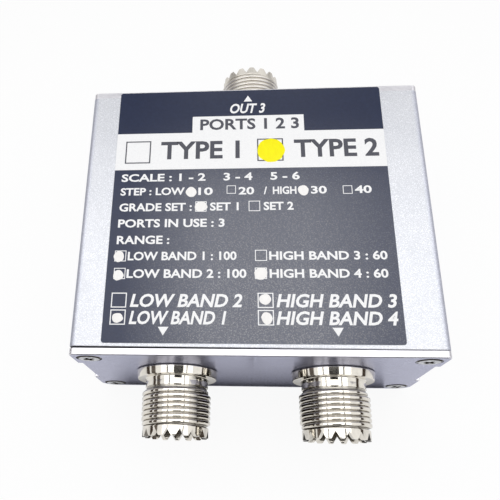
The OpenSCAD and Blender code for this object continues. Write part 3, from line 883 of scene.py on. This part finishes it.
# Words, left and right end, middle height, cap height and slant of each row.
WHITE_ROWS = [
    ("OUT 3", 27.6, 36.2, 58.9, 2.7, 0.25),
    ("SCALE : 1 - 2    3 - 4    5 - 6", 1.8, 43.8, 39.9, 2.0, 0),
    ("STEP : LOW", 1.8, 17.0, 36.2, 1.9, 0),
    ("10", 20.2, 23.6, 36.1, 1.9, 0),
    ("20", 29.6, 33.2, 36.1, 1.9, 0),
    ("/  HIGH", 35.4, 42.9, 36.1, 1.9, 0),
    ("30", 46.2, 49.8, 36.1, 1.9, 0),
    ("40", 56.1, 59.9, 36.1, 1.9, 0),
    ("GRADE SET :", 1.8, 18.8, 32.1, 2.0, 0),
    ("SET 1", 23.0, 29.6, 32.1, 2.0, 0),
    ("SET 2", 35.3, 42.1, 32.1, 2.0, 0),
    ("PORTS IN USE : 3", 1.8, 26.4, 28.0, 2.0, 0),
    ("RANGE :", 1.8, 13.9, 23.85, 2.0, 0),
    ("LOW BAND 1 : 100", 4.6, 29.1, 19.9, 2.0, 0),
    ("HIGH BAND 3 : 60", 36.3, 61.9, 19.9, 2.0, 0),
    ("LOW BAND 2 : 100", 4.6, 31.25, 15.7, 2.0, 0),
    ("HIGH BAND 4 : 60", 36.3, 61.7, 15.7, 2.0, 0),
    ("LOW BAND 2", 5.8, 30.3, 9.5, 2.9, 0.2),
    ("HIGH BAND 3", 37.6, 62.95, 9.5, 2.9, 0.2),
    ("LOW BAND 1", 5.8, 26.9, 5.65, 2.9, 0.2),
    ("HIGH BAND 4", 37.5, 62.8, 5.65, 2.9, 0.2),
]
DARK_ROWS = [
    ("PORTS 1 2 3", 20.3, 44.2, 54.4, 3.0, 0),
    ("TYPE 1", 10.9, 29.9, 47.3, 4.7, 0),
    ("TYPE 2", 42.8, 62.4, 47.3, 4.7, 0),
]
# Middle, height of the base, half width and rise of each arrow.
ARROWS = [(32.0, 60.85, 1.05, 1.75), (13.35, 3.54, 1.15, -1.9), (50.25, 3.54, 1.15, -1.9)]


def on_label(x, y, level):
    """A place on the label from its front left corner, at a level over the base."""
    return (LABEL_LEFT + x) * MM, (LABEL_FRONT + y) * MM, level * MM


def slab(shape, outline, low, high):
    """Add a thin flat prism to a shape: an outline on the label, from one level to another."""
    bottom, top = (
        [shape.verts.new(on_label(x, y, level)) for x, y in outline] for level in (low, high))
    shape.faces.new(bottom[::-1])
    shape.faces.new(top)
    for k in range(len(outline)):
        after = (k + 1) % len(outline)
        shape.faces.new([bottom[k], bottom[after], top[after], top[k]])


def lettering(shape, words, left, right, middle, cap, slant, low, high):
    """Add words to a shape as thin solid letters, fitted to a width and a cap height."""
    curve = bpy.data.curves.new("words", "FONT")
    curve.body = words
    curve.shear = slant
    curve.offset = BOLD
    curve.resolution_u = 3
    curve.extrude = 0.5
    holder = bpy.data.objects.new("words", curve)
    bpy.context.scene.collection.objects.link(holder)
    ready = holder.evaluated_get(bpy.context.evaluated_depsgraph_get())
    mesh = bpy.data.meshes.new_from_object(ready)
    bpy.data.objects.remove(holder)
    start, end = (pick(v.co.x for v in mesh.vertices) for pick in (min, max))
    wide = (right - left) / (end - start)
    tall = cap / max(v.co.y for v in mesh.vertices)
    for v in mesh.vertices:
        v.co = on_label(
            left + (v.co.x - start) * wide, middle - cap / 2 + v.co.y * tall,
            low if v.co.z < 0 else high)
    shape.from_mesh(mesh)
    bpy.data.meshes.remove(mesh)


def ink(name, colour, dull):
    """Printing ink: nearly even, with a little mottling."""
    material, shader, place = finish(name, metallic=0.0, specular_ior_level=0.35)
    mottle = place.noise(0.25, 3)
    dress(
        shader, base_color=mottle.ramp(0.35, 0.75).mix(colour, dull),
        roughness=0.42 + 0.15 * mottle, normal=mottle.bump(0.004))
    return material


white_ink = ink("white_ink", INK_WHITE, INK_WHITE_DULL)
black_ink = ink("black_ink", INK_BLACK, INK_BLACK_DULL)
white_print = bmesh.new()
slab(white_print, BAND, *WHITE_LEVELS)
for x, y, half, rise in ARROWS:
    outline = [(x - half, y), (x + half, y), (x, y + rise)]
    slab(white_print, outline if rise > 0 else outline[::-1], *WHITE_LEVELS)
for row in WHITE_ROWS:
    lettering(white_print, *row, *WHITE_LEVELS)
placed("label_white_print", white_print, white_ink, "case", [], 30)
dark_print = bmesh.new()
for row in DARK_ROWS:
    lettering(dark_print, *row, *DARK_LEVELS)
placed("label_dark_print", dark_print, black_ink, "case", [], 30)

# Tick boxes are printed in the same inks, and the ones that apply are dabbed by hand with thick
# paint: a yellow dot in the second type box and small white dots in the rows.
SMALL_BOXES = [(27.9, 36.4), (54.5, 36.0)]
MIDDLE_BOXES = [(20.9, 32.1), (33.2, 32.1), (2.9, 19.9), (34.5, 19.9), (3.0, 15.7), (34.4, 15.7)]
LARGE_BOXES = [(3.3, 9.5), (35.3, 9.5), (3.3, 5.65), (35.3, 5.65)]
TYPE_BOXES = [(5.35, 46.85), (37.15, 46.95)]
WHITE_DABS = [
    (18.6, 35.9, 1.25), (44.5, 36.0, 1.3), (20.9, 32.1, 1.4), (2.55, 19.8, 1.2), (2.7, 15.25, 1.2),
    (34.35, 15.6, 1.42), (35.25, 9.75, 1.22), (3.25, 5.5, 1.2), (35.45, 5.5, 1.25),
]
YELLOW_DABS = [(37.35, 46.75, 3.25)]
DAB_HEIGHT = 0.09
DAB_RIPPLE = 0.7
DAB_WAVES = 520.0
DAB_SEED = 4
PAINT_WHITE = (0.97, 0.955, 0.94)
PAINT_WHITE_DULL = (0.90, 0.88, 0.865)
PAINT_YELLOW = (1.0, 0.94, 0.004)
PAINT_YELLOW_DULL = (0.97, 0.86, 0.003)

box_tree, size = form_tree("Tick box", Side="Float", Line="Float", Height="Float")
inner = size["Side"] - size["Line"]
square, bar = (
    inner.add("GeometryNodeCurvePrimitiveQuadrilateral", {0: wide, 1: tall}, mode="RECTANGLE")
    for wide, tall in ((inner, inner), (size["Line"], size["Height"])))
frame_form = square.add("GeometryNodeCurveToMesh", {0: square, 1: bar})
boxes = frame_form.add("GeometryNodeInstanceOnPoints", {0: size["Geometry"], 2: frame_form})
end_tree(boxes, size["Finish"])

dab_tree, size = form_tree("Paint dab", Height="Float", Ripple="Float", Seed="Int")
ball = size["Height"].add("GeometryNodeMeshUVSphere", {0: 28, 1: 14, 2: 1.0})
radius = ball.add("GeometryNodeInputNamedAttribute", {0: "radius"}, data_type="FLOAT")
spin = ball.add(
    "FunctionNodeRandomValue", {2: 0.0, 3: math.tau, 8: size["Seed"]}, output=1, data_type="FLOAT")
dabs = ball.add("GeometryNodeInstanceOnPoints", {
    0: size["Geometry"], 2: ball, 5: ball.vector(z=spin),
    6: ball.vector(radius, radius, size["Height"]),
})
dabs = dabs.add("GeometryNodeRealizeInstances", {0: dabs})
here = dabs.add("GeometryNodeInputPosition")
wobble = here.add("ShaderNodeTexNoise", {0: here, 2: DAB_WAVES, 3: 1.0}, output=1)
shift = wobble.add(
    "ShaderNodeVectorMath", {0: wobble, 1: (0.5, 0.5, 0.5)}, operation="SUBTRACT")
shift = shift.add(
    "ShaderNodeVectorMath", {0: shift, 1: shift.vector(size["Ripple"], size["Ripple"])},
    operation="MULTIPLY")
end_tree(dabs.add("GeometryNodeSetPosition", {0: dabs, 3: shift}), size["Finish"])


def spots_at(level, places):
    """A blank of loose points on the label, with a radius for each where it is given."""
    blank = bpy.data.meshes.new("spots")
    blank.from_pydata([on_label(spot[0], spot[1], level) for spot in places], [], [])
    radii = blank.attributes.new("radius", "FLOAT", "POINT")
    for item, spot in zip(radii.data, places):
        item.value = spot[2] * MM if len(spot) > 2 else 0
    return blank


def paint(name, colour, dull):
    """Thick hand paint: half glossy, with brush ridges."""
    material, shader, place = finish(name, metallic=0.0, specular_ior_level=0.25)
    ridge = place.stretched(1, 0.35, 1).noise(0.5, 2)
    dress(
        shader, base_color=ridge.ramp(0.3, 0.8).mix(colour, dull),
        roughness=0.3 + 0.2 * ridge, normal=ridge.bump(0.03))
    return material


for name, places, side, line, level, colour in (
    ("label_small_boxes", SMALL_BOXES, 2.2, 0.22, LABEL_TOP, white_ink),
    ("label_middle_boxes", MIDDLE_BOXES, 2.7, 0.25, LABEL_TOP, white_ink),
    ("label_large_boxes", LARGE_BOXES, 3.5, 0.32, LABEL_TOP, white_ink),
    ("label_type_boxes", TYPE_BOXES, 6.3, 0.42, LABEL_TOP + INK, black_ink),
):
    mesh = grown(
        box_tree, spots_at(level, places), colour,
        Side=side * MM, Line=line * MM, Height=2 * INK * MM)
    placed(name, mesh, colour, "case", [], 30)
for name, places, level, colour, dull in (
    ("label_white_dabs", WHITE_DABS, LABEL_TOP, PAINT_WHITE, PAINT_WHITE_DULL),
    ("label_yellow_dab", YELLOW_DABS, LABEL_TOP + INK, PAINT_YELLOW, PAINT_YELLOW_DULL),
):
    coat = paint(name + "_paint", colour, dull)
    mesh = grown(
        dab_tree, spots_at(level, places), coat,
        Height=DAB_HEIGHT * MM, Ripple=DAB_RIPPLE * MM, Seed=DAB_SEED)
    placed(name, mesh, coat, "case", [], 60)

# The stage: a pale floor, a large soft light overhead, dark cards that only reflections show,
# and the camera at the photograph's angle. The floor, the light and the cards are in metres.
FLOOR_SPAN = (-4.0, 4.0)
FLOOR_LEVEL = (-0.00005, -0.00005)
FLOOR_COLOUR = (0.95, 0.95, 0.955, 1)
FLOOR_GLOW = 1.02
FLOOR_SEEN = 0.88
FLOOR_REFLECTED = 0.5
BLACK_CARD = (0.02, 0.018, 0.016, 1)
GREY_CARD = (0.10, 0.10, 0.105, 1)
REAR_CARD = (0.05, 0.052, 0.06, 1)
BROWN_CARD = (0.26, 0.22, 0.19, 1)
LOW_CARD = (0.13, 0.10, 0.08, 1)
GAP_SHADE_CARD = (0.033, 0.026, 0.021, 1)
# Each card's x, y and z, its colour, and for each axis on which it fades, in millimetres, where
# it is clear and where it is dense.
CARDS = [
    ("left_edge_card", (-0.089, -0.076), (-0.14, 0.0), (0.178, 0.178), BLACK_CARD, {}),
    ("right_edge_card", (0.074, 0.087), (-0.14, 0.0), (0.178, 0.178), BLACK_CARD, {}),
    ("camera_card", (-0.03, 0.043), (-0.15, -0.0405), (0.169, 0.169), BLACK_CARD, {}),
    ("rear_card", (-0.11, 0.11), (0.096, 0.15), (0.18, 0.18), REAR_CARD, {}),
    ("front_card", (-0.5, 0.5), (-0.7, -0.7), (0.0, 0.5), GREY_CARD, {}),
    # Painted shade between the sockets: a dark sheet that only reflections show.
    ("gap_card", (0.0, 0.0), (-0.0449, -0.0363), (0.008, 0.036), GAP_SHADE_CARD, {2: (36, 26)}),
    ("left_high_card", (-1.0, -1.0), (-1.2, 1.2), (0.32, 0.62), BROWN_CARD, {}),
    # Painted shade on the floor before the front plate's foot, seen only in reflections.
    ("foot_card", (-0.044, 0.034), (-0.042, -0.0337), (0.0002, 0.0002), BLACK_CARD,
     {1: (-41.5, -34.5), 0: (-38.5, -33)}),
    ("left_low_card", (-1.0, -1.0), (-1.4, 1.2), (0.0, 0.22), LOW_CARD, {}),
    ("right_low_card", (1.0, 1.0), (-1.4, 1.2), (0.0, 0.22), LOW_CARD, {}),
]
WORLD_LIGHT = 0.46
SOFTBOX_SIZE = (0.31, 0.192)
SOFTBOX_POWER = 0.22
SOFTBOX_PLACE = (0.004, -0.004, 0.18)
CAMERA_PLACE = (-2.78, -60.79, 164.78)
CAMERA_TURN = (22.48, 4.597, 1.546)
CAMERA_LENS = 43.877
CAMERA_SHIFT = (0.12, -0.01)


def sheet(name, x, y, z, colour):
    """A flat sheet of the stage between two corners: itself, its shader's output and its place."""
    mesh = bpy.data.meshes.new(name)
    across = y[::-1] if x[0] == x[1] else y
    mesh.from_pydata([
        (x[0], y[0], z[0]), (x[1], across[0], z[0]), (x[1], y[1], z[1]), (x[0], across[1], z[1]),
    ], [], [(0, 1, 2, 3)])
    material, shader, place = finish(
        name, base_color=colour, specular_ior_level=0.0, roughness=0.9)
    mesh.materials.append(material)
    piece = bpy.data.objects.new(name, mesh)
    bpy.context.scene.collection.objects.link(piece)
    return piece, Wire(material.node_tree, shader.outputs[0]), place


def surfaced(share, low, high):
    """Make a stage material's surface go from one shader to another as a share goes from 0 to 1."""
    mixed = share.add("ShaderNodeMixShader", {0: share, 1: low, 2: high})
    surface = share.tree.nodes["Material Output"].inputs["Surface"]
    share.tree.links.new(mixed.socket, surface)


def ray(path, kind):
    """Whether a ray of light that meets a surface is of this kind."""
    return path.add("ShaderNodeLightPath", output=f"Is {kind} Ray")


_, matt, _ = sheet("floor", FLOOR_SPAN, FLOOR_SPAN, FLOOR_LEVEL, FLOOR_COLOUR)
seen = ray(matt, "Camera") * FLOOR_SEEN
seen = seen.math("MAXIMUM", ray(matt, "Glossy") * FLOOR_REFLECTED)
surfaced(seen, matt, matt.add("ShaderNodeEmission", {0: (1, 1, 1, 1), 1: FLOOR_GLOW}))
for name, x, y, z, colour, fades in CARDS:
    card, matt, place = sheet(name, x, y, z, colour)
    for kind in ("camera", "diffuse", "shadow", "transmission"):
        setattr(card, "visible_" + kind, False)
    if fades:
        first, *others = (place.axis(index).ramp(*ends) for index, ends in fades.items())
        dense = math.prod(others, start=first)
        surfaced(dense, matt.add("ShaderNodeBsdfTransparent"), matt)

lamp = bpy.data.lights.new("softbox", "AREA")
lamp.shape = "RECTANGLE"
lamp.size, lamp.size_y = SOFTBOX_SIZE
lamp.energy = SOFTBOX_POWER
softbox = bpy.data.objects.new("softbox", lamp)
softbox.location = SOFTBOX_PLACE
softbox.visible_camera = False
bpy.context.scene.collection.objects.link(softbox)

world = bpy.data.worlds.new("studio")
world.use_nodes = True
bpy.context.scene.world = world
path = Wire(world.node_tree)
seen = ray(path, "Camera").math("MAXIMUM", ray(path, "Glossy"))
seen = seen.math("MAXIMUM", ray(path, "Transmission"))
strength = seen * (1 - WORLD_LIGHT) + WORLD_LIGHT
backdrop = world.node_tree.nodes["Background"]
dress(backdrop, color=(1, 1, 1, 1), strength=strength)

lens = bpy.data.cameras.new("camera")
lens.lens = CAMERA_LENS
lens.shift_x, lens.shift_y = CAMERA_SHIFT
lens.clip_start = 0.01
camera = bpy.data.objects.new("camera", lens)
camera.location = [value * MM for value in CAMERA_PLACE]
camera.rotation_euler = [math.radians(value) for value in CAMERA_TURN]
bpy.context.scene.collection.objects.link(camera)
bpy.context.scene.camera = camera
bpy.context.scene.view_settings.view_transform = "Standard"
